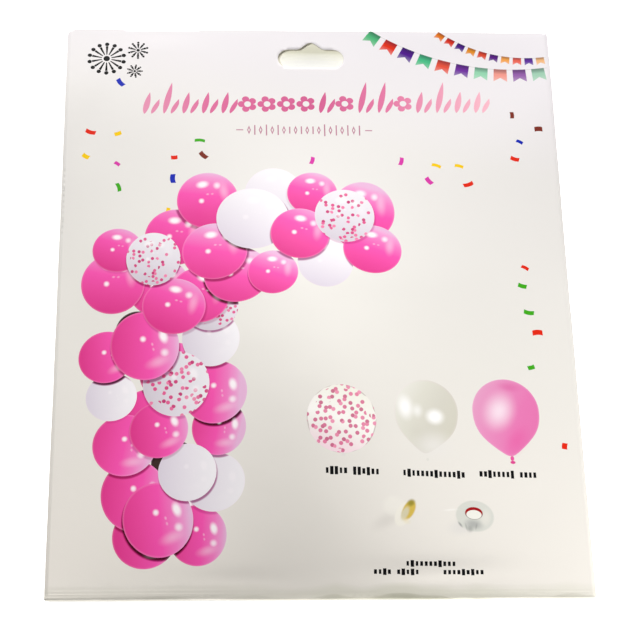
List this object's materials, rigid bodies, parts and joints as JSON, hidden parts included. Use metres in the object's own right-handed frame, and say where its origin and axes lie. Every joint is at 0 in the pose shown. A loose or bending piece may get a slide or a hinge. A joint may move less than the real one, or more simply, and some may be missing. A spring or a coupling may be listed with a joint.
{
  "type": "hanging retail packet",
  "caption": "Flat sealed card packet for a balloon garland kit, softly padded, with a plain two-ply header and a long hang slot for a shop peg.",
  "frame": {"origin": "under the middle of the packet's outline, on the surface that its back lies on", "axes": "+Z out of the printed front, +Y towards the header with the hang slot, +X to the right of the print"},
  "size_m": [0.25, 0.31, 0.016],
  "materials": {
    "printed_card": "pearl-white coated card with a soft gloss, printed in colour on the front and plain on the back"
  },
  "bodies": {
    "root": {"card_wallet": "printed_card"}
  },
  "joints": []
}
